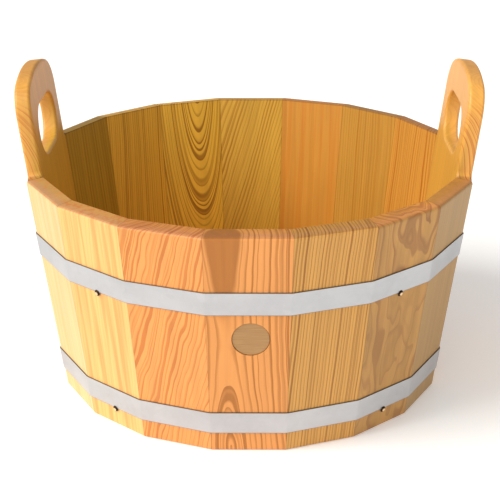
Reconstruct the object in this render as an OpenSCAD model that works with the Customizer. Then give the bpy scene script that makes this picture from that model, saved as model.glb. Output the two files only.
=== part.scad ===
// Coopered wooden wash tub: flat tapering staves with two tall handle staves, held by two
// riveted steel hoops round a five-board bottom that sits in a groove near the foot.

/* [Wall] */
// Width of the tub at the rim, across the outer stave corners
rim_across = 506; // [480:1:600]
// Width of the tub at the foot, across the outer stave corners
foot_across = 444; // [380:1:470]
// Height of the wall, from the floor to the outer arris of the rim
wall_h = 250; // [215:1:320]
// Thickness of the plain staves
stave_t = 18; // [14:0.5:24]
// Radius of the rounded outer arris of the rim, and of every edge of the handles
edge_round = 3.5; // [1.5:0.5:5]
// Radius of the eased outer arris of the foot
foot_round = 2.5; // [1:0.5:5]

/* [Handles] */
// Height of the handles above the rim, along the board
handle_rise = 106; // [90:1:130]
// Width of the shoulder left on the rim beside each handle
shoulder_w = 9.5; // [9:0.5:16]
// Radius of the two top corners of the handles
handle_corner = 36; // [28:1:46]
// Radius of the low arch between the top corners
crown_r = 180; // [130:5:260]
// Radius of the hollow where a handle grows out of the rim
neck_r = 7; // [5:0.5:8.5]
// Length of the finger hole
grip_w = 100; // [80:1:106]
// Height of the finger hole
grip_h = 54; // [40:1:58]
// Height of the centre of the finger hole above the rim
grip_z = 39; // [38:1:46]

/* [Bottom] */
// Height of the underside of the bottom's tongue above the floor
croze_z = 20; // [14:1:30]
// Width of the groove that holds the bottom, which is the thickness of the bottom's tongue
croze_w = 9; // [6:0.5:12]
// Depth of the groove in the staves
croze_depth = 6; // [4:0.5:8]
// Thickness of the bottom boards
bottom_t = 15; // [13:0.5:22]
// Room left for the bottom to swell, inside the groove and round its upper part
swell_gap = 0.4; // [0.2:0.1:1]
// Diameter of the dowels between the bottom boards
dowel_d = 8; // [6:0.5:10]
// Length of the dowels between the bottom boards
dowel_len = 40; // [24:1:50]
// Distance between neighbouring dowels in one joint
dowel_pitch = 105; // [70:1:120]

/* [Hoops] */
// Width of the hoop steel, measured upwards
hoop_w = 25; // [18:0.5:32]
// Thickness of the hoop steel
hoop_t = 1.2; // [0.8:0.1:2]
// Distance from the rim down to the upper edge of the upper hoop
upper_hoop_drop = 60; // [40:1:75]
// Height of the lower edge of the lower hoop above the floor
lower_hoop_z = 23; // [14:1:30]
// Length of the riveted overlap at the back of each hoop
lap_len = 46; // [36:1:56]
// Diameter of the hoop rivets
rivet_d = 5; // [4:0.5:6]
// Diameter of the rivet heads
rivet_head_d = 9; // [7.5:0.5:11]

/* [Nails] */
// Diameter of the domed nail heads that catch the lower edge of each hoop
nail_head_d = 7; // [5.5:0.5:9]
// Height of the domed nail heads
nail_head_h = 2; // [1.5:0.1:3]
// Diameter of the nail shanks
nail_d = 2.2; // [1.6:0.1:3]
// Length of the nail shanks below the head
nail_len = 12; // [8:0.5:13]

/* [Badge] */
// Diameter of the blank badge
badge_d = 38; // [30:1:44]
// Thickness of the blank badge
badge_t = 1.4; // [1:0.1:2]
// Depth of the shallow pocket that the badge is glued into
pocket_depth = 2.2; // [2:0.1:3]
// Distance from the lower edge of the upper hoop down to the centre of the badge
badge_drop = 28.5; // [27:0.5:40]
// Distance of the badge from the middle line of the front stave
badge_shift = 2.5; // [-8:0.5:8]

/* [Hidden] */
$fn = 144;
slack = 1;
plain_per_side = 7;
sector = 20;
half_p = sector / 2;
half_h = sector;
rim_r = rim_across / 2;
foot_r = foot_across / 2;
reach = rim_r * 1.5;
board_len = wall_h * 1.2;
plain_count = 2 * plain_per_side;
lap_stave = 3;
badge_stave = 10;
nailed_staves = [1, 5, 8, 12];
upper_hoop_z = wall_h - upper_hoop_drop - hoop_w;
hoop_heights = [upper_hoop_z, lower_hoop_z];
lap_gap = 0.1;
crease = 4;
overlap = 0.3;
joggle = 4;
tail_t = 0.8;
badge_gap = 0.2;
badge_chamfer = 0.4;
dowels_per_joint = 3;
dowel_room = 1;
bottom_boards = 5;

larch = ["#D9A066", "#CF9458", "#E0AC74", "#D39A5E", "#DDA66C"];
steel = "#C9CBD2";
brass = "#9A6B3A";
badge_tan = "#C79A6A";

function number_text(n) = n < 10 ? str("0", n) : str(n);
stave_names = [for (i = [0:plain_count - 1]) str("stave_", number_text(i + 1))];
bottom_names = [for (k = [0:bottom_boards - 1]) str("bottom_board_", k + 1)];

// The staves run anticlockwise, seen from above: the back ones, then the front ones
function stave_angle(i) = i < plain_per_side
    ? half_h + half_p + i * sector
    : 180 + half_h + half_p + (i - plain_per_side) * sector;

// How far a face whose corners stand half a sector apart leans outwards
function lean(half) = atan((rim_r - foot_r) * cos(half) / wall_h);

// Thickness that brings the back of a wide face flush with its neighbours on their shared joint
function flush(t, half) = t * cos(lean(half)) * cos(half) / (cos(lean(half_p)) * cos(half_p));

// Distance from the axis to an outer and to an inner stave corner at a height
function outer_corner(z) = foot_r + (rim_r - foot_r) * z / wall_h;
function inner_corner(z) = outer_corner(z) - stave_t / (cos(lean(half_p)) * cos(half_p));

// Place on a face, up along the board from the rim, of a height above the floor
function up_board(z, half) = (z - wall_h) / cos(lean(half));

croze_r = inner_corner(croze_z) + croze_depth;
bottom_span = 2 * (croze_r - swell_gap);
bottom_board_w = bottom_span / bottom_boards;

// Frame of a face: x outwards from its outer surface, y along it, z up the board from the rim
module face_frame(angle, half)
    rotate([0, 0, angle])
        translate([rim_r * cos(half), 0, wall_h])
            rotate([0, lean(half), 0])
                children();

// Turns a flat drawing, x along the face and y up the board, to stand in the face
module upright()
    rotate([90, 0, 90])
        children();

// Wedge from the axis between the two joints of a face
module wedge(angle, half, z_low, z_high)
    rotate([0, 0, angle])
        translate([0, 0, z_low])
            linear_extrude(z_high - z_low)
                polygon([[0, 0], [reach, -reach * tan(half)], [reach, reach * tan(half)]]);

// Waste outside a quarter round
module spandrel(r)
    difference() {
        square(r + slack);
        circle(r);
    }

// Waste along a straight edge from p to q, with the wood on its left
module round_line(p, q, r)
    translate([p[0], p[1], 0])
        rotate([0, 0, atan2(q[1] - p[1], q[0] - p[0])])
            upright()
                linear_extrude(norm(q - p))
                    translate([r, -r])
                        mirror([1, 0])
                            spandrel(r);

// Waste along an edge that bulges out, between two angles
module round_bulge(centre, radius, from, to, r)
    translate([centre[0], centre[1], 0])
        rotate([0, 0, from])
            rotate_extrude(angle = to - from)
                translate([radius - r, -r])
                    spandrel(r);

// Waste along an edge that curves in, between two angles
module round_hollow(centre, radius, from, to, r)
    translate([centre[0], centre[1], 0])
        rotate([0, 0, from])
            rotate_extrude(angle = to - from)
                translate([radius + r, -r])
                    mirror([1, 0])
                        spandrel(r);

// Waste along the eased outer arris of the foot
module foot_waste(angle, half) {
    tilt = lean(half);
    centre_x = foot_r * cos(half) + foot_round * tan(tilt) - foot_round / cos(tilt);
    rotate([0, 0, angle])
        translate([0, reach, 0])
            rotate([90, 0, 0])
                linear_extrude(2 * reach)
                    difference() {
                        translate([centre_x, -slack])
                            square([foot_round + 2 * slack, slack + foot_round * (1 - sin(tilt))]);
                        translate([centre_x, foot_round])
                            circle(foot_round);
                    }
}

// Room for the bottom's tongue in one stave
module croze(angle, half)
    rotate([0, 0, angle])
        translate([0, -reach, croze_z])
            cube([croze_r * cos(half), 2 * reach, croze_w]);

// One domed nail under the edge of the hoop that starts at a height
module nail(hoop_z)
    translate([0, 0, up_board(hoop_z, half_p) - nail_d / 2])
        rotate([0, 90, 0]) {
            translate([0, 0, hoop_t])
                domed_head(nail_head_d, nail_head_h);
            translate([0, 0, hoop_t - nail_len + nail_d])
                cylinder(d = nail_d, h = nail_len - nail_d);
            translate([0, 0, hoop_t - nail_len])
                cylinder(d1 = 0, d2 = nail_d, h = nail_d);
        }

// Stands things on the floor of the badge's pocket, with z outwards
module in_pocket(angle)
    face_frame(angle, half_p)
        translate([-pocket_depth, badge_shift, up_board(upper_hoop_z - badge_drop, half_p)])
            rotate([0, 90, 0])
                children();

// Cap of a ball, flat side down
module domed_head(d, h) {
    ball_r = (d * d / 4 + h * h) / (2 * h);
    rotate_extrude()
        intersection() {
            translate([0, h - ball_r])
                circle(ball_r);
            square([d, h]);
        }
}

// One rivet at the overlap of the hoop that starts at a height
module rivet(hoop_z, side)
    translate([0, side * lap_len / 4, up_board(hoop_z + hoop_w / 2, half_p)])
        rotate([0, 90, 0]) {
            translate([0, 0, 2 * hoop_t + lap_gap])
                domed_head(rivet_head_d, rivet_head_d / 4);
            cylinder(d = rivet_d, h = 2 * hoop_t + lap_gap);
            translate([0, 0, -tail_t])
                cylinder(d = rivet_head_d, h = tail_t);
        }

// Plain stave: a flat board, bevelled on both edges so that it narrows to the foot
module plain_stave(i) {
    angle = stave_angle(i);
    color(larch[i % len(larch)])
        difference() {
            intersection() {
                wedge(angle, half_p, 0, board_len);
                face_frame(angle, half_p)
                    translate([-stave_t, -reach, -board_len])
                        cube([stave_t, 2 * reach, board_len]);
            }
            croze(angle, half_p);
            foot_waste(angle, half_p);
            if (i == badge_stave)
                in_pocket(angle)
                    cylinder(d = badge_d + 2 * badge_gap, h = pocket_depth + slack);
            face_frame(angle, half_p) {
                upright()
                    round_line([reach, 0], [-reach, 0], edge_round);
                if (len(search(i, nailed_staves)) > 0)
                    for (z = hoop_heights)
                        nail(z);
                if (i == lap_stave)
                    for (z = hoop_heights, side = [-1, 1])
                        rivet(z, side);
            }
        }
}

// Places of the handle's curves, in the face of the handle stave. The crown meets each corner
// in a slight crease rather than on a tangent, at this angle above the side.
function to_hundredth(x) = round(100 * x) / 100;
side_x = to_hundredth(rim_r * sin(half_h) - shoulder_w);
corner_x = side_x - handle_corner;
crown_z = handle_rise - crown_r;
centres_apart = sqrt(pow(crown_r, 2) + pow(handle_corner, 2)
    - 2 * crown_r * handle_corner * cos(crease));
corner_z = crown_z + to_hundredth(sqrt(pow(centres_apart, 2) - pow(corner_x, 2)));
crown_turn = acos(corner_x / centres_apart) - asin(handle_corner * sin(crease) / centres_apart);
grip_x = (grip_w - grip_h) / 2;

// Outline of the handle above the rim: arched top, round corners and two hollow necks
module handle_outline() {
    intersection() {
        translate([0, crown_z])
            circle(crown_r);
        union() {
            translate([-side_x, -slack])
                square([2 * side_x, corner_z + slack]);
            translate([0, crown_z])
                polygon([[0, 0], 2 * [corner_x, corner_z - crown_z], 2 * [-corner_x, corner_z - crown_z]]);
            for (side = [-1, 1])
                translate([side * corner_x, corner_z])
                    circle(handle_corner);
        }
    }
    for (side = [0, 1])
        mirror([side, 0])
            difference() {
                translate([side_x - slack, -slack])
                    square([neck_r + slack, neck_r + slack]);
                translate([side_x + neck_r, neck_r])
                    circle(neck_r);
            }
}

// Finger hole: a slot with half-round ends
module grip_outline() {
    square([2 * grip_x, grip_h], center = true);
    for (side = [-1, 1])
        translate([side * grip_x, 0])
            circle(d = grip_h);
}

// Things for the outer face of a board in its place, and their likeness for its inner face
module on_both_faces(angle, half, t)
    face_frame(angle, half)
        upright() {
            children();
            translate([0, 0, -t])
                mirror([0, 0, 1])
                    children();
        }

// Rounding of the straight edges: shoulders, handle sides, and the finger hole's top and bottom
module straight_rounding(r) {
    for (side = [0, 1])
        mirror([side, 0, 0]) {
            round_line([side_x, neck_r], [side_x, corner_z], r);
            round_line([reach, 0], [side_x + neck_r, 0], r);
        }
    translate([0, grip_z, 0])
        for (side = [0, 1])
            mirror([0, side, 0])
                round_line([-grip_x, grip_h / 2], [grip_x, grip_h / 2], r);
}

// Rounding of the small curves: necks, top corners, and the finger hole's ends
module curve_rounding(r)
    for (side = [0, 1])
        mirror([side, 0, 0]) {
            round_bulge([corner_x, corner_z], handle_corner, 0, crown_turn - crease + overlap, r);
            round_hollow([side_x + neck_r, neck_r], neck_r, 180, 270, r);
            round_hollow([grip_x, grip_z], grip_h / 2, -90, 90, r);
        }

// Rounding of the arched top
module crown_rounding(r)
    round_bulge([0, crown_z], crown_r, crown_turn - overlap, 180 - crown_turn + overlap, r);

// Blank of a handle stave: a double-width board that runs on above the rim as a handle
module handle_blank(angle, t)
    intersection() {
        wedge(angle, half_h, 0, wall_h + 2 * handle_rise);
        face_frame(angle, half_h)
            translate([-t, 0, 0])
                upright()
                    linear_extrude(t)
                        difference() {
                            union() {
                                translate([-reach, -board_len])
                                    square([2 * reach, board_len]);
                                handle_outline();
                            }
                            translate([0, grip_z])
                                grip_outline();
                        }
    }

// Handle stave: grooved and eased like the others, with every edge above the rim rounded
module handle_stave(angle) {
    t = flush(stave_t, half_h);
    color(larch[1])
        difference() {
            difference() {
                difference() {
                    difference() {
                        handle_blank(angle, t);
                        croze(angle, half_h);
                        foot_waste(angle, half_h);
                    }
                    on_both_faces(angle, half_h, t)
                        crown_rounding(edge_round);
                }
                on_both_faces(angle, half_h, t)
                    straight_rounding(edge_round);
            }
            on_both_faces(angle, half_h, t)
                curve_rounding(edge_round);
        }
}

// Outline through points at every stave corner, at one distance from the axis
module stave_polygon(r)
    polygon(concat(
        [for (k = [1:plain_per_side + 1]) r * [cos(k * sector), sin(k * sector)]],
        [for (k = [1:plain_per_side + 1]) -r * [cos(k * sector), sin(k * sector)]]));

// Whole bottom: a thin tongue in the groove under a thicker middle
module bottom_plate() {
    translate([0, 0, croze_z])
        linear_extrude(croze_w)
            stave_polygon(croze_r - swell_gap);
    translate([0, 0, croze_z])
        linear_extrude(bottom_t)
            stave_polygon(inner_corner(croze_z + croze_w) - swell_gap);
}

// One joint's dowels, with spare room at their ends when they are holes
module dowel_row(joint, spare)
    for (k = [0:dowels_per_joint - 1])
        translate([(k - (dowels_per_joint - 1) / 2) * dowel_pitch,
                   (joint - bottom_boards / 2) * bottom_board_w + dowel_len / 2 + spare,
                   croze_z + bottom_t / 2])
            rotate([90, 0, 0])
                cylinder(d = dowel_d, h = dowel_len + 2 * spare);

// Bottom board: one of five edge-jointed boards that run from handle to handle
module bottom_board(k) {
    color(larch[(k + 2) % len(larch)])
        difference() {
            intersection() {
                bottom_plate();
                translate([-reach, (k - bottom_boards / 2) * bottom_board_w, 0])
                    cube([2 * reach, bottom_board_w, wall_h]);
            }
            for (joint = [1:bottom_boards - 1])
                if (joint == k || joint == k + 1)
                    dowel_row(joint, dowel_room);
        }
}

module bottom_dowels()
    color("#E3C08E")
        for (joint = [1:bottom_boards - 1])
            dowel_row(joint, 0);

// Everything inside the outer faces of the staves, grown outwards by a distance
module inside_faces(grow)
    intersection() {
        intersection_for(i = [0:plain_count - 1])
            face_frame(stave_angle(i), half_p)
                translate([grow - 2 * reach, -reach, -2 * reach])
                    cube(2 * reach);
        intersection_for(angle = [0, 180])
            face_frame(angle, half_h)
                translate([flush(grow, half_h) - 2 * reach, -reach, -2 * reach])
                    cube(2 * reach);
    }

// Outer end of a hoop strip: it steps up over the inner end and runs on over it
module lap_section() {
    step = hoop_t + lap_gap;
    root_y = lap_len / 2 + slack + joggle;
    polygon([[0, root_y + joggle], [hoop_t, root_y + joggle], [hoop_t, root_y],
             [step + hoop_t, root_y - joggle], [step + hoop_t, -lap_len / 2],
             [step, -lap_len / 2], [step, root_y - joggle], [0, root_y]]);
}

// Hoop: one strip of steel bent round every stave corner, its ends lapped and riveted
module hoop(z) {
    color(steel)
        difference() {
            intersection() {
                union() {
                    difference() {
                        inside_faces(hoop_t);
                        inside_faces(0);
                        face_frame(stave_angle(lap_stave), half_p)
                            translate([-slack, lap_len / 2, -board_len])
                                cube([hoop_t + 2 * slack, slack + joggle, board_len]);
                    }
                    face_frame(stave_angle(lap_stave), half_p)
                        translate([0, 0, -board_len])
                            linear_extrude(board_len)
                                lap_section();
                }
                translate([-reach, -reach, z])
                    cube([2 * reach, 2 * reach, hoop_w]);
            }
            face_frame(stave_angle(lap_stave), half_p)
                for (side = [-1, 1])
                    rivet(z, side);
        }
}

// The two rivets of one hoop
module hoop_rivets(z)
    color(steel)
        face_frame(stave_angle(lap_stave), half_p)
            for (side = [-1, 1])
                rivet(z, side);

// The four nails of one hoop
module hoop_nails(z)
    color(brass)
        for (i = nailed_staves)
            face_frame(stave_angle(i), half_p)
                nail(z);

// Blank badge: a thin round disc with a softened edge
module blank_badge()
    color(badge_tan)
        in_pocket(stave_angle(badge_stave)) {
            cylinder(d = badge_d, h = badge_t - badge_chamfer);
            translate([0, 0, badge_t - badge_chamfer])
                cylinder(d1 = badge_d, d2 = badge_d - 2 * badge_chamfer, h = badge_chamfer);
        }

for (i = [0:plain_count - 1])
    plain_stave(i);
handle_stave(0);  // handle_stave_right
handle_stave(180);  // handle_stave_left
for (k = [0:bottom_boards - 1])
    bottom_board(k);
bottom_dowels();
hoop(upper_hoop_z);  // upper_hoop
hoop(lower_hoop_z);  // lower_hoop
hoop_rivets(upper_hoop_z);  // upper_hoop_rivets
hoop_rivets(lower_hoop_z);  // lower_hoop_rivets
hoop_nails(upper_hoop_z);  // upper_hoop_nails
hoop_nails(lower_hoop_z);  // lower_hoop_nails
blank_badge();
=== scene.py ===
import math

import bmesh
import bpy
from mathutils import Matrix, Vector


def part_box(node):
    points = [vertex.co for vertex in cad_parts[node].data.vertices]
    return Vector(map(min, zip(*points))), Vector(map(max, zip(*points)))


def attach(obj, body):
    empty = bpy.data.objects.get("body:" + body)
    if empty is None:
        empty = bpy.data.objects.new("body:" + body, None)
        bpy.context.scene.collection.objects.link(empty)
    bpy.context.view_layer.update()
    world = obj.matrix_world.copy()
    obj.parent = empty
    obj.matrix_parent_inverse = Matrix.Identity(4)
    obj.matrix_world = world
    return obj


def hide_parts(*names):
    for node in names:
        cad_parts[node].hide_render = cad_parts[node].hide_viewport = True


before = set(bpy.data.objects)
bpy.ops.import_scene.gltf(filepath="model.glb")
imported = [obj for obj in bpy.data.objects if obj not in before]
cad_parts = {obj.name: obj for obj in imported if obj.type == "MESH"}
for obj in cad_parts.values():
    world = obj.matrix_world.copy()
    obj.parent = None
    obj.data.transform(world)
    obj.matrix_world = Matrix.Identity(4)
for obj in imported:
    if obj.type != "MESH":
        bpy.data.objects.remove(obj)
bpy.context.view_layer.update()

# Camera of the photograph: a long lens about 1.4 metres away, looking down into the tub. Its place
# and turn come from the corners of the staves and hoops in the picture.
rim_radius = 0.253
view_height = math.radians(22.366)
view_turn = math.radians(0.51)
view_roll = math.radians(-0.144)
view_distance = 5.64323 * rim_radius
aim_height = 0.53546 * rim_radius
aim_shift = -0.00073 * rim_radius
film_width = 36
focal_length = 88.29
sight_limit = 50
backwards = Vector((
    math.sin(view_turn) * math.cos(view_height),
    -math.cos(view_turn) * math.cos(view_height),
    math.sin(view_height),
))
level_right = Vector((math.cos(view_turn), math.sin(view_turn), 0))
level_up = backwards.cross(level_right)
right = level_right * math.cos(view_roll) + level_up * math.sin(view_roll)
up = level_up * math.cos(view_roll) - level_right * math.sin(view_roll)
lens = bpy.data.cameras.new("photo_lens")
lens.sensor_width = film_width
lens.lens = focal_length
lens.clip_end = sight_limit
camera = bpy.data.objects.new("photo_camera", lens)
bpy.context.scene.collection.objects.link(camera)
camera.matrix_world = Matrix.Translation(
    Vector((0, 0, aim_height)) + level_right * aim_shift + backwards * view_distance
) @ Matrix((right, up, backwards)).transposed().to_4x4()
bpy.context.scene.camera = camera

# Studio light: an even pale room, one broad light high on the left that comes a little from the
# front, and a weaker one lower at the front left, so the tub shades the floor on its right. A
# lamp is given by its turn and height in degrees, its strength, and its width in degrees.
room_colour = (1.0, 0.985, 0.965, 1)
room_strength = 0.52
lamp_colour = (1.0, 0.985, 0.955)
lamp_distance = 3
lamps = (
    ("broad_light", -160, 40, 2.75, 34),
    ("front_fill", -122, 22, 0.55, 40),
)
room = bpy.data.worlds.new("pale_room")
room.use_nodes = True
room.node_tree.nodes["Background"].inputs["Color"].default_value = room_colour
room.node_tree.nodes["Background"].inputs["Strength"].default_value = room_strength
bpy.context.scene.world = room
for lamp_name, lamp_turn, lamp_height, strength, width in lamps:
    lamp = bpy.data.lights.new(lamp_name, "SUN")
    lamp.energy = strength
    lamp.angle = math.radians(width)
    lamp.color = lamp_colour
    light = bpy.data.objects.new(lamp_name, lamp)
    bpy.context.scene.collection.objects.link(light)
    towards_lamp = Vector((
        math.cos(math.radians(lamp_turn)) * math.cos(math.radians(lamp_height)),
        math.sin(math.radians(lamp_turn)) * math.cos(math.radians(lamp_height)),
        math.sin(math.radians(lamp_height)),
    ))
    light.location = towards_lamp * lamp_distance
    light.rotation_euler = towards_lamp.to_track_quat("Z", "Y").to_euler()
bpy.context.scene.view_settings.view_transform = "Standard"
bpy.context.scene.view_settings.look = "None"


# Floor: a wide sheet of white paper, matt, with a faint mottle, that the tub stands on. It glows
# faintly, which keeps it white all round the tub's shade.
class Tone:
    """One output of a finish's nodes. Arithmetic on it adds Math nodes to the same finish."""

    def __init__(self, tree, socket):
        self.tree = tree
        self.socket = socket

    def node(self, kind, settings, sources, output=0):
        """Adds a node of a kind: its settings first, then the values or links of its sockets."""
        made = self.tree.nodes.new(kind)
        for name, setting in settings.items():
            setattr(made, name, setting)
        for name, source in sources.items():
            if isinstance(source, Tone):
                self.tree.links.new(source.socket, made.inputs[name])
            else:
                made.inputs[name].default_value = source
        return Tone(self.tree, made.outputs[output])

    def maths(self, operation, first, second=0.0):
        return self.node("ShaderNodeMath", {"operation": operation}, {0: first, 1: second})

    def __add__(self, other):
        return self.maths("ADD", self, other)

    def __sub__(self, other):
        return self.maths("SUBTRACT", self, other)

    def __rsub__(self, other):
        return self.maths("SUBTRACT", other, self)

    def __mul__(self, other):
        return self.maths("MULTIPLY", self, other)

    def __truediv__(self, other):
        return self.maths("DIVIDE", self, other)

    def __pow__(self, power):
        return self.maths("POWER", self, power)

    def __abs__(self):
        return self.maths("ABSOLUTE", self)

    __radd__ = __add__
    __rmul__ = __mul__

    def rise(self, low, high):
        """Goes softly from 0 at one value to 1 at a higher one."""
        return self.node(
            "ShaderNodeMapRange", {"interpolation_type": "SMOOTHSTEP"},
            {"Value": self, "From Min": low, "From Max": high},
        )

    def band(self, low, full, fading, high):
        """Rises softly from 0 to 1, stays there, and falls back to 0."""
        return self.rise(low, full) * (1 - self.rise(fading, high))

    def split(self):
        """The three parts of a place or a colour."""
        return [self.node("ShaderNodeSeparateXYZ", {}, {0: self}, part) for part in range(3)]

    def stretched(self, x, y, z):
        """A place with each of its directions multiplied by its own number."""
        return self.node("ShaderNodeVectorMath", {"operation": "MULTIPLY"}, {0: self, 1: (x, y, z)})

    def moved(self, x, y, z):
        """A place shifted, so that a pattern shows another part of itself."""
        return self.node("ShaderNodeVectorMath", {"operation": "ADD"}, {0: self, 1: (x, y, z)})

    def distance_to(self, point):
        return self.node("ShaderNodeVectorMath", {"operation": "DISTANCE"}, {0: self, 1: point}, 1)

    def clouds(self, detail=2.0, roughness=0.5, output=0):
        """Soft noise at this place, of size 1, about 0.5 on average."""
        return self.node(
            "ShaderNodeTexNoise", {},
            {"Vector": self, "Scale": 1.0, "Detail": detail, "Roughness": roughness}, output,
        )

    def between(self, first, second):
        """The first colour where this is 0, the second where it is 1."""
        return self.node(
            "ShaderNodeMix", {"data_type": "RGBA"}, {0: self, 6: (*first, 1), 7: (*second, 1)}, 2
        )

    def towards(self, colour, amount, blend="MIX"):
        """This colour mixed with another by an amount from 0 to 1."""
        return self.node(
            "ShaderNodeMix", {"data_type": "RGBA", "blend_type": blend},
            {0: amount, 6: self, 7: (*colour, 1)}, 2,
        )

    def dimmed(self, amount):
        """This colour multiplied by a number."""
        return self.node("ShaderNodeVectorMath", {"operation": "SCALE"}, {0: self, "Scale": amount})

    def relief(self, strength, depth):
        """The surface's direction where this stands proud, to a depth in metres."""
        return self.node(
            "ShaderNodeBump", {}, {"Strength": strength, "Distance": depth, "Height": self}
        )


metre = 1000.0


def finish_of(name):
    """An empty finish, its shader, and the place on the piece in millimetres."""
    material = bpy.data.materials.new(name)
    material.use_nodes = True
    tree = material.node_tree
    shader = tree.nodes["Principled BSDF"]
    place = tree.nodes.new("ShaderNodeTexCoord")
    millimetres = Tone(tree, place.outputs["Object"]).stretched(metre, metre, metre)
    return material, shader, millimetres


def fed(shader, socket, tone):
    tone.tree.links.new(tone.socket, shader.inputs[socket])


sheet_reach = 14
mottle_rate = 0.01
paper_dull = (0.90, 0.895, 0.885)
paper_bright = (0.93, 0.925, 0.92)
paper_glow = (1.0, 0.99, 0.98, 1)
glow_strength = 0.20
paper_roughness = 0.7
paper_mesh = bmesh.new()
bmesh.ops.create_grid(paper_mesh, x_segments=1, y_segments=1, size=sheet_reach)
floor_mesh = bpy.data.meshes.new("paper_floor")
paper_mesh.to_mesh(floor_mesh)
paper_mesh.free()
floor = bpy.data.objects.new("paper_floor", floor_mesh)
bpy.context.scene.collection.objects.link(floor)
paper, paper_shader, paper_place = finish_of("white_paper")
mottle = paper_place.stretched(mottle_rate, mottle_rate, mottle_rate).clouds()
fed(paper_shader, "Base Color", mottle.between(paper_dull, paper_bright))
paper_shader.inputs["Roughness"].default_value = paper_roughness
paper_shader.inputs["Emission Color"].default_value = paper_glow
paper_shader.inputs["Emission Strength"].default_value = glow_strength
floor_mesh.materials.append(paper)


# Plain staves: fourteen larch boards, planed flat, bevelled on both edges and glued edge to edge,
# with their tops cut square and the outer arris rounded over. Each shows its own piece of the log.
# The frame of a board has x out of its outer face, y along the face and z up from the rim.
foot_radius = 0.222
wall_height = 0.250
plain_half = 10
hoop_edges = ((190.0, 165.0), (48.0, 23.0))

# How often each pattern changes in a millimetre out of the face, along the face and up the board
sway_rate = (0.012, 0.014, 0.0045)
curl_rate = (0.03, 0.05, 0.022)
tone_rate = (0.03, 0.035, 0.008)
fibre_rate = (1.6, 1.6, 0.02)
streak_rate = (0.16, 0.16, 0.004)
pore_rate = (2.2, 2.2, 0.1)

# Detail of the patterns, the middle of their values, and how far apart two boards' patterns lie
sway_detail, curl_detail = 1.5, 1.0
fine_grain = (3.0, 0.6)
noise_middle = 0.5
seed_step = 37.0

# A year's ring, in parts of the year: late wood begins, is full, and breaks off before the next.
# Years differ in width and in darkness, and the darkness drifts along the board
late_begins, late_full, late_breaks = 0.30, 0.90, 0.93
late_curve = 1.4
uneven_rate, unevenness = 0.37, 0.9
weakest_year = 0.45
least_dark, dark_drift = 0.45, 1.1

# Places on a board in millimetres up from the rim's outer edge
flame_end, flame_full = -125, -70
deep_fades, deep_gone = -5, 60
top_cut = (-1.7, -0.8, 1.5, 4)
crown_end = (98, 106)
crook_begins = 5

# Places in from the outer face, down from the rim, and out from the middle of a handle's board
deep_begins, deep_full = 6, 12
foot_cut = (251.0, 252.0)
face_grain = (72, 80)
shoulder = (78, 80)

# How much each pattern counts in the colour, the gloss and the relief of the wood
flame_edge = (-3, 1)
flame_dark = 0.75
face_share = 0.20
stain_room = (0.44, 0.66)
plain_bright, fibre_bright = 0.74, 0.16
deep_loss = 0.9
crown_share = 0.5
end_share = 0.85
pore_middle, pore_dark = 0.35, 0.5
oiled_rough, fibre_rough, end_rough, late_gloss = 0.40, 0.10, 0.15, 0.05
oil_gleam = 0.42
fibre_proud, late_proud, joint_sunk = 0.5, 0.35, 1.2
wood_relief = (0.35, 0.00025)

# Lines where boards meet, and painted shade along a hoop's edges: widths in millimetres, and darkness
glue_width = 0.7
glue_top = (2, 4)
glue_dark = 0.32
above_hoop = (-0.5, 0.0, 0.3, 1.2)
painted_shade_above = 0.32
below_hoop = (-1.0, -0.3, 0.0, 0.5)
painted_shade_below = 0.36
outer_skin = (-1.5, -0.5)


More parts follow.
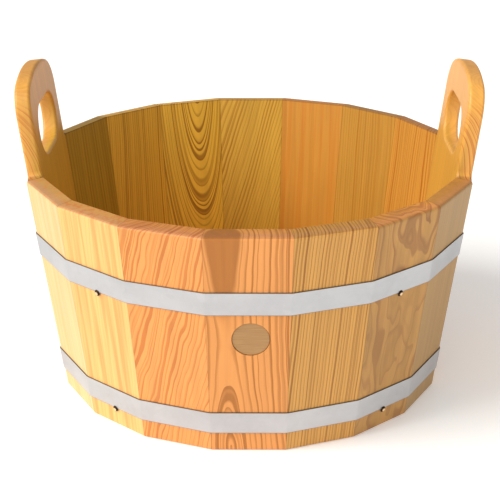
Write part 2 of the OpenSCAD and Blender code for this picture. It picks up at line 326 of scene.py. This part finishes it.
def larch_board(name, turn, half, log):
    """Larch with its rings round one heart, so that a board's faces, edges and ends agree. The
    board faces a turn in degrees, and its two joints lie half an angle to each side of that."""
    material, shader, object_place = finish_of(name)
    is_handle = half > plain_half
    lean = math.atan((rim_radius - foot_radius) * math.cos(math.radians(half)) / wall_height)
    rim_apothem = rim_radius * math.cos(math.radians(half)) * metre
    upright = Matrix.Rotation(-lean, 3, "Y") @ Matrix.Rotation(math.radians(-turn), 3, "Z")
    rim_point = Matrix.Rotation(-lean, 3, "Y") @ Vector((rim_apothem, 0, wall_height * metre))
    place = object_place.node(
        "ShaderNodeMapping", {"vector_type": "POINT"},
        {"Vector": object_place, "Rotation": upright.to_euler("XYZ"), "Location": -rim_point},
    )
    x, y, z = place.split()
    seed = log["seed"] * seed_step

    # Rings: distance from the heart of the log, which is tilted or bowed, and wanders a little
    sway = place.moved(seed, 0, 0).stretched(*sway_rate).clouds(sway_detail, output=1).split()
    curl = place.moved(0, seed, 0).stretched(*curl_rate).clouds(curl_detail)
    heart_x, heart_y = log["heart"]
    tilt_x, tilt_y = log["tilt"]
    depth = x - heart_x - z * tilt_x + (sway[0] - noise_middle) * log["wander"]
    if "bow" in log:
        bow, bow_at = log["bow"]
        depth = depth - (z - bow_at) ** 2 * bow
    if "crook" in log:
        depth = depth - z.maths("MAXIMUM", z - crook_begins, 0.0) ** 2 * log["crook"]
    side = y - heart_y - z * tilt_y + (sway[1] - noise_middle) * log["wander"]
    from_heart = (depth * depth + side * side) ** 0.5 + (curl - noise_middle) * log["curl"]
    years = from_heart / log["ring"]
    years = years + (years.node(
        "ShaderNodeTexNoise", {"noise_dimensions": "1D"},
        {"W": years * uneven_rate + seed, "Detail": 0.0},
    ) - noise_middle) * unevenness
    season = years.maths("FRACT", years)
    year = years.maths("FLOOR", years)
    hardness = years.node("ShaderNodeTexWhiteNoise", {"noise_dimensions": "1D"}, {"W": year + seed})
    tone = place.moved(0, seed, seed).stretched(*tone_rate).clouds()
    late_wood = season.rise(late_begins, late_full) ** late_curve * (1 - season.rise(late_breaks, 1.0))
    late_wood = late_wood * (hardness * (1 - weakest_year) + weakest_year)
    late_wood = late_wood * (tone * dark_drift + least_dark)
    if "flame" in log:
        core = 1 - from_heart.rise(*(log["flame"] + step for step in flame_edge))
        flame = core * z.rise(flame_end, flame_full)
        late_wood = late_wood.maths("MAXIMUM", late_wood, flame * flame_dark)

    # Fibres, stains and slow changes of tone along the board. A handle's flat faces show less ring
    fibre = place.moved(0, 0, seed).stretched(*fibre_rate).clouds(*fine_grain)
    streak = place.moved(seed, seed, 0).stretched(*streak_rate).clouds()
    ring_shown = late_wood * log["contrast"]
    if is_handle:
        ring_shown = ring_shown * (face_share + abs(y).rise(*face_grain) * (1 - face_share))
    colour = ring_shown.between(log["early"], log["late"])
    colour = colour.towards(log["late"], streak.rise(*stain_room) * log["stain"])
    brightness = plain_bright + fibre * fibre_bright + streak * log["streaks"]
    colour = colour.dimmed(brightness + (tone - noise_middle) * log["mottle"])

    # Inside of the tub, deeper in colour; square-cut top and foot, where the pores are open
    inside = (0 - x).rise(deep_begins, deep_full) * (1 - z.rise(deep_fades, deep_gone) * deep_loss)
    colour = colour.towards(log["deep"], inside, "MULTIPLY")
    board_end = z.band(*top_cut)
    if is_handle:
        board_end = board_end * abs(y).rise(*shoulder) + z.rise(*crown_end) * crown_share
    board_end = board_end + (0 - z).rise(*foot_cut)
    pores = place.moved(seed, 0, seed).stretched(*pore_rate).clouds()
    colour = colour.towards(log["end"], board_end * end_share, "MULTIPLY")
    colour = colour.dimmed(1 - board_end * (pores - pore_middle) * pore_dark)

    # Glue lines at the radial joints, and a thin line of painted shade along each hoop's edges
    from_axis = x * math.cos(lean) + z * math.sin(lean) + rim_apothem
    joint_room = from_axis * math.tan(math.radians(half)) - abs(y)
    glue_line = (1 - joint_room.rise(0.0, glue_width)) * (1 - z.rise(*glue_top))
    outside = x.rise(*outer_skin)
    glue_and_painted_shade = glue_line * glue_dark
    object_z = object_place.split()[2]
    for top_edge, low_edge in hoop_edges:
        above = object_z.band(*(top_edge + step for step in above_hoop))
        below = object_z.band(*(low_edge + step for step in below_hoop))
        glue_and_painted_shade = glue_and_painted_shade + (above * painted_shade_above + below * painted_shade_below) * outside
    colour = colour.dimmed(1 - glue_and_painted_shade)
    fed(shader, "Base Color", colour)

    # Planed and sanded, with a thin satin oil: late wood is harder and stands a little proud
    roughness = oiled_rough + fibre * fibre_rough + board_end * end_rough - late_wood * late_gloss
    fed(shader, "Roughness", roughness)
    shader.inputs["Specular IOR Level"].default_value = oil_gleam
    raised = fibre * fibre_proud + late_wood * late_proud - glue_line * joint_sunk
    fed(shader, "Normal", raised.relief(*wood_relief))
    return material


def dressed(node_name, material):
    """Gives a carried-over node its finish."""
    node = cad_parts[node_name]
    node.data.materials.clear()
    node.data.materials.append(material)


# Each board's log. The heart's place is out of the face and along it, where it passes the rim, and
# its tilt is what that place gains in each millimetre up. Ring is a year's width, wander how far
# the heart strays, and curl how far the rings do, all in millimetres. Bow bends the heart about a
# height, crook bends the rings above the rim, and flame is the radius of a brown core. Early and
# late are the colours of the year, with contrast for how fully the late one shows. Streaks, stain
# and mottle run up the board. Deep and end multiply the colour inside the tub and on the cut ends.
common_log = dict(streaks=0.26, mottle=0.25, stain=0.0, deep=(1.0, 1.0, 0.62), end=(0.68, 0.62, 0.78))
amber = (0.82, 0.336, 0.088)
logs = {
    "stave_01": dict(
        heart=(60, -110), tilt=(0.02, 0.05), ring=3.6, wander=10, curl=2, contrast=1.2,
        early=(0.62, 0.285, 0.068), late=(0.44, 0.14, 0.02),
    ),
    "stave_02": dict(
        heart=(90, -120), tilt=(0.05, 0.08), ring=3.0, wander=10, curl=1.5, contrast=1.2,
        early=(0.54, 0.270, 0.060), late=(0.44, 0.185, 0.028),
    ),
    "stave_03": dict(
        heart=(30, 110), tilt=(0.01, 0.02), ring=11, wander=10, curl=2, contrast=0.5,
        early=(0.64, 0.295, 0.064), late=(0.52, 0.18, 0.025), streaks=0.4, stain=0.5,
    ),
    "stave_04": dict(
        heart=(-60, 50), tilt=(0.10, -0.22), ring=3.4, wander=10, curl=2, contrast=1.1,
        early=(0.78, 0.465, 0.100), late=(0.48, 0.225, 0.032),
    ),
    "stave_05": dict(
        heart=(-30, -10), tilt=(0.17, 0.0), ring=3.1, wander=4, curl=0.8, contrast=1.15,
        early=(1.0, 0.62, 0.11), late=(0.44, 0.20, 0.024),
    ),
    "stave_06": dict(
        heart=(-30, -110), tilt=(0.03, -0.06), ring=3.0, wander=10, curl=2, contrast=1.1,
        early=(0.86, 0.51, 0.088), late=(0.46, 0.23, 0.030),
    ),
    "stave_07": dict(
        heart=(20, 110), tilt=(0.01, 0.01), ring=4.5, wander=8, curl=2, contrast=0.8,
        early=(0.45, 0.275, 0.035), late=(0.25, 0.120, 0.010),
    ),
    "stave_08": dict(
        heart=(-80, -90), tilt=(0.01, 0.01), ring=5.0, wander=8, curl=2, contrast=0.45,
        early=(0.80, 0.545, 0.235), late=amber, stain=0.5, end=(0.66, 0.50, 0.50),
    ),
    "stave_09": dict(
        heart=(-60, -95), tilt=(0.03, 0.04), ring=4.4, wander=14, curl=3, contrast=0.55,
        early=(0.88, 0.52, 0.170), late=(0.78, 0.30, 0.075), stain=0.8, end=(0.66, 0.52, 0.58),
    ),
    "stave_10": dict(
        heart=(-40, -70), tilt=(0.02, 0.24), ring=4.8, wander=20, curl=8, contrast=1.35,
        early=amber, late=(0.60, 0.19, 0.035), end=(0.72, 0.68, 0.88),
    ),
    "stave_11": dict(
        heart=(-18, -25), tilt=(0.0, -0.03), ring=5.4, wander=6, curl=4, contrast=1.35,
        early=amber, late=(0.47, 0.165, 0.025), bow=(0.0010, -117), flame=19,
        end=(0.74, 0.74, 0.95),
    ),
    "stave_12": dict(
        heart=(-20, -90), tilt=(0.0, 0.045), ring=3.4, wander=5, curl=1.6, contrast=1.25,
        early=(0.74, 0.375, 0.086), late=(0.38, 0.15, 0.020),
    ),
    "stave_13": dict(
        heart=(-34, 14), tilt=(0.10, 0.06), ring=7, wander=40, curl=16, contrast=1.0,
        early=(0.58, 0.30, 0.076), late=(0.36, 0.150, 0.035), mottle=0.8, stain=0.3,
        end=(1.18, 0.92, 0.96),
    ),
    "stave_14": dict(
        heart=(-40, 85), tilt=(0.01, 0.02), ring=3.8, wander=10, curl=2, contrast=0.6,
        early=(0.50, 0.28, 0.082), late=(0.36, 0.19, 0.050), end=(1.15, 0.86, 0.80),
    ),
}
first_back, first_front = 30, -150
stave_step = 2 * plain_half
staves_a_side = len(logs) // 2
for number, (stave, log) in enumerate(logs.items()):
    turn = first_back + stave_step * number
    if number >= staves_a_side:
        turn = first_front + stave_step * (number - staves_a_side)
    seeded = {**common_log, **log, "seed": number + 1}
    dressed(stave, larch_board("larch_" + stave, turn, plain_half, seeded))


# Handle staves: two wide larch boards, one each side, that grow above the rim into a handle. The
# grip hole and the arched outline are bandsawn, then rounded over on both faces and sanded. Above
# the rim the grain crooks, outwards on the left and inwards on the right, so its rings turn level.
handle_half = 20
handle_seed = 21
russet = (0.56, 0.150, 0.022)
handle_logs = {
    "handle_stave_right": (0, dict(
        heart=(70, -60), tilt=(-0.05, 0.05), ring=4.4, wander=16, curl=4, crook=-0.006, contrast=1.4,
        early=(0.84, 0.41, 0.080), late=russet, deep=(0.80, 0.84, 0.62),
    )),
    "handle_stave_left": (180, dict(
        heart=(-60, 40), tilt=(0.05, 0.05), ring=4.4, wander=16, curl=4, crook=0.006, contrast=1.4,
        early=(0.74, 0.36, 0.062), late=russet, deep=(0.86, 1.0, 0.60),
    )),
}
for number, (stave, (turn, log)) in enumerate(handle_logs.items()):
    seeded = {**common_log, **log, "seed": number + handle_seed}
    dressed(stave, larch_board("larch_" + stave, turn, handle_half, seeded))


# Bottom: five larch boards edge to edge, lined up by dowels, held in the groove of the staves.
# The boards run from handle to handle, so their grain has its length along x. A heart is given
# by its place beside the board's middle and its height.
bottom_hearts = ((-20, -50), (60, 20), (5, 60), (-70, 10), (20, -60))
bottom_seed = 31
bottom_ring = 4.6
bottom_tilt = 0.03
bottom_wander = 24
bottom_sway_rate = (0.0045, 0.014, 0.012)
bottom_fibre_rate = (0.02, 1.6, 1.6)
bottom_streak_rate = (0.004, 0.12, 0.12)
bottom_early = (0.70, 0.41, 0.115)
bottom_late = (0.44, 0.21, 0.040)
bottom_contrast = 0.7
bottom_fibre, bottom_streak = 0.2, 0.3
bottom_rough = 0.42
bottom_late_proud = 0.4


def larch_bottom(name, middle_y, heart, seed):
    """Larch of a bottom board, its rings round a heart that lies nearly level along the board."""
    material, shader, place = finish_of(name)
    x, y, z = place.split()
    heart_side, heart_height = heart
    sway = place.moved(seed, 0, 0).stretched(*bottom_sway_rate).clouds(sway_detail)
    depth = z - heart_height - x * bottom_tilt
    side = y - middle_y - heart_side + (sway - noise_middle) * bottom_wander
    years = (depth * depth + side * side) ** 0.5 / bottom_ring
    season = years.maths("FRACT", years)
    late_wood = season.rise(late_begins, late_full) ** late_curve * (1 - season.rise(late_breaks, 1.0))
    fibre = place.moved(0, seed, 0).stretched(*bottom_fibre_rate).clouds(*fine_grain)
    streak = place.moved(0, 0, seed).stretched(*bottom_streak_rate).clouds()
    colour = (late_wood * bottom_contrast).between(bottom_early, bottom_late)
    brightness = plain_bright + fibre * bottom_fibre + streak * bottom_streak
    fed(shader, "Base Color", colour.dimmed(brightness))
    fed(shader, "Roughness", bottom_rough + fibre * fibre_rough)
    raised = fibre * fibre_proud + late_wood * bottom_late_proud
    fed(shader, "Normal", raised.relief(*wood_relief))
    return material


for number, heart in enumerate(bottom_hearts):
    board = "bottom_board_" + str(number + 1)
    low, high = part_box(board)
    middle_y = (low.y + high.y) / 2 * metre
    dressed(board, larch_bottom("larch_" + board, middle_y, heart, (number + bottom_seed) * seed_step))

# Dowels: turned beech pins across each joint of the bottom, plain and pale with short flecks. Each
# sits half in one board and half in the next, out of sight.
beech_pale = (0.72, 0.50, 0.30)
beech_fleck = (0.54, 0.32, 0.16)
fleck_rate = (1.5, 0.15, 1.5)
fleck_room = (0.35, 0.75)
turned_rough, fleck_rough = 0.5, 0.1
beech, beech_shader, beech_place = finish_of("beech_dowel")
fleck = beech_place.stretched(*fleck_rate).clouds(*fine_grain)
fed(beech_shader, "Base Color", fleck.rise(*fleck_room).between(beech_pale, beech_fleck))
fed(beech_shader, "Roughness", turned_rough + fleck * fleck_rough)
dressed("bottom_dowels", beech)


# Hoops: steel strip, bright galvanised, bent round every corner of the staves in a small curve,
# lapped at the back and riveted. The rolled strip keeps a faint grain along its length, and a thin
# band along each of its edges is painted dark, as shade in the gap where the strip meets the wood.
zinc_dull = (0.48, 0.485, 0.50)
zinc_bright = (0.59, 0.595, 0.61)
painted_edge_shade = (0.20, 0.18, 0.16)
edge_inner, edge_outer = 0.45, 0.1
rolled_rate = (0.02, 0.02, 2.2)
cloud_rate = (0.025, 0.025, 0.05)
crystal_rate = 0.16
strip_bright, rolled_bright, crystal_bright = 0.93, 0.06, 0.05
zinc_metal = 0.85
strip_rough, rolled_rough, crystal_rough, edge_band_rough = 0.30, 0.10, 0.06, 0.2
strip_relief = (0.15, 0.0001)
bend_width = 0.0032
bend_steps = 5
least_bend, most_bend = math.radians(15), math.radians(25)
least_bend_height = 0.02
joined_within = 2e-6
flat_within = math.radians(0.5)
crease_angle = math.radians(35)


def merged_copy(node_name):
    """A mesh of the node's own shape, its loose triangles joined and flat faces made whole."""
    copy = bmesh.new()
    copy.from_mesh(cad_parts[node_name].data)
    bmesh.ops.remove_doubles(copy, verts=copy.verts, dist=joined_within)
    bmesh.ops.dissolve_limit(copy, angle_limit=flat_within, verts=copy.verts, edges=copy.edges)
    return copy


def new_piece(name, shape, material, slot, *nodes):
    """Makes a piece of a finished shape, on the one body, in place of the nodes that it stands for."""
    mesh = bpy.data.meshes.new(name)
    shape.to_mesh(mesh)
    shape.free()
    mesh.materials.append(material)
    for face in mesh.polygons:
        face.use_smooth = True
    mesh.set_sharp_from_angle(angle=crease_angle)
    piece = bpy.data.objects.new(name, mesh)
    bpy.context.scene.collection.objects.link(piece)
    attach(piece, "root")
    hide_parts(*nodes)


def zinc(name, top_edge, low_edge):
    """Galvanised strip between two heights, with faint crystals, rolling marks and painted edge shade.
    """
    material, shader, place = finish_of(name)
    z = place.split()[2]
    rolled = place.stretched(*rolled_rate).clouds(*fine_grain)
    cloud = place.stretched(*cloud_rate).clouds()
    crystal = place.node(
        "ShaderNodeTexVoronoi", {"feature": "F1"}, {"Vector": place, "Scale": crystal_rate}, 1
    ).split()[0]
    # Painted shade: a thin dark band along the top edge and the low edge of the strip
    top_edge_shade = z.rise(top_edge - edge_inner, top_edge - edge_outer)
    edge_shade_mask = top_edge_shade + 1 - z.rise(low_edge + edge_outer, low_edge + edge_inner)
    brightness = strip_bright + rolled * rolled_bright + crystal * crystal_bright
    colour = cloud.between(zinc_dull, zinc_bright).dimmed(brightness)
    fed(shader, "Base Color", colour.towards(painted_edge_shade, edge_shade_mask))
    shader.inputs["Metallic"].default_value = zinc_metal
    roughness = strip_rough + rolled * rolled_rough + crystal * crystal_rough
    fed(shader, "Roughness", roughness + edge_shade_mask * edge_band_rough)
    fed(shader, "Normal", rolled.relief(*strip_relief))
    return material


for hoop_name, (top_edge, low_edge) in zip(("upper_hoop", "lower_hoop"), hoop_edges):
    strip = merged_copy(hoop_name)
    bends = []
    for edge in strip.edges:
        first, second = (corner.co for corner in edge.verts)
        if len(edge.link_faces) != 2 or abs(first.z - second.z) < least_bend_height:
            continue
        bend = edge.calc_face_angle(0)
        outwards = edge.link_faces[0].normal + edge.link_faces[1].normal
        if least_bend < bend < most_bend and outwards.dot(Vector((first.x, first.y, 0))) > 0:
            bends.append(edge)
    bmesh.ops.bevel(
        strip, geom=bends, offset=bend_width, offset_type="OFFSET", affect="EDGES",
        segments=bend_steps, profile=0.5, material=-1, clamp_overlap=True,
    )
    finish = zinc("zinc_" + hoop_name, top_edge, low_edge)
    new_piece("bent_" + hoop_name, strip, finish, "hoop_steel", hoop_name)

# Rivets: round heads closed over the lap at the back, galvanised like the strip. They lie well
# inside its edges, so the painted shade along the strip's edges is kept clear of them.
clear_of_edges = 50
for rivets, (top_edge, low_edge) in zip(("upper_hoop_rivets", "lower_hoop_rivets"), hoop_edges):
    finish = zinc("zinc_" + rivets, top_edge + clear_of_edges, low_edge - clear_of_edges)
    new_piece("set_" + rivets, merged_copy(rivets), finish, "rivet_steel", rivets)


# Nails: round-headed, copper-plated, driven in tight under each hoop so it can't slip down. Each
# head carries a painted highlight near its crown, and the rest is painted dark as a reflection.
nail_turns = (50, 130, -130, -50)
# Where each painted highlight is centred: out from the stave's face and down from the hoop's edge
highlight_out = 3.2
highlight_below = 1.9
highlight_room = (1.7, 2.3)
painted_dark_copper = (0.040, 0.022, 0.012)
painted_bright_copper = (0.92, 0.66, 0.40)
scuff_rate = 0.9
highlight_share, scuff_share = 0.75, 0.5
copper_metal = 0.9
copper_rough, highlight_gloss, scuff_rough = 0.48, 0.18, 0.08
for nails, (top_edge, low_edge) in zip(("upper_hoop_nails", "lower_hoop_nails"), hoop_edges):
    copper, copper_shader, copper_place = finish_of("copper_" + nails)
    corner_radius = foot_radius + (rim_radius - foot_radius) * low_edge / (wall_height * metre)
    face_radius = corner_radius * math.cos(math.radians(plain_half)) * metre
    from_highlight = None
    for nail_turn in nail_turns:
        highlight_centre = Vector((
            (face_radius + highlight_out) * math.cos(math.radians(nail_turn)),
            (face_radius + highlight_out) * math.sin(math.radians(nail_turn)),
            low_edge - highlight_below,
        ))
        away = copper_place.distance_to(highlight_centre)
        from_highlight = away if from_highlight is None else away.maths("MINIMUM", from_highlight, away)
    # Painted highlight on the head, and painted dark reflection round it
    painted_highlight = 1 - from_highlight.rise(*highlight_room)
    scuff = copper_place.stretched(scuff_rate, scuff_rate, scuff_rate).clouds(*fine_grain)
    highlight_tone = painted_highlight * (highlight_share + scuff * scuff_share)
    fed(copper_shader, "Base Color", highlight_tone.between(painted_dark_copper, painted_bright_copper))
    copper_shader.inputs["Metallic"].default_value = copper_metal
    fed(copper_shader, "Roughness", copper_rough - painted_highlight * highlight_gloss + scuff * scuff_rough)
    new_piece("driven_" + nails, merged_copy(nails), copper, "nail_copper", nails)


# Badge: a thin blank disc of pale wood, smooth and matt, glued into a shallow pocket in the front
# stave. Its edge is painted darker, as shade in the corner of the pocket.
disc_pale = (0.44, 0.245, 0.090)
disc_vein = (0.36, 0.185, 0.065)
disc_edge = (18.0, 19.0)
pocket_shade_dark = 0.45
vein_rate = (0.06, 1.2, 1.4)
vein_grain = (3.0, 0.55)
vein_room = (0.3, 0.75)
disc_rough, vein_rough = 0.5, 0.12
disc_relief = (0.15, 0.0001)
birch, birch_shader, birch_place = finish_of("blank_disc")
low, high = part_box("blank_badge")
# Painted shade in a ring round the disc's edge, where it meets the pocket's wall
pocket_shade = birch_place.distance_to((low + high) / 2 * metre).rise(*disc_edge)
vein = birch_place.stretched(*vein_rate).clouds(*vein_grain)
disc_colour = vein.rise(*vein_room).between(disc_pale, disc_vein)
fed(birch_shader, "Base Color", disc_colour.dimmed(1 - pocket_shade * pocket_shade_dark))
fed(birch_shader, "Roughness", disc_rough + vein * vein_rough)
fed(birch_shader, "Normal", vein.relief(*disc_relief))
dressed("blank_badge", birch)
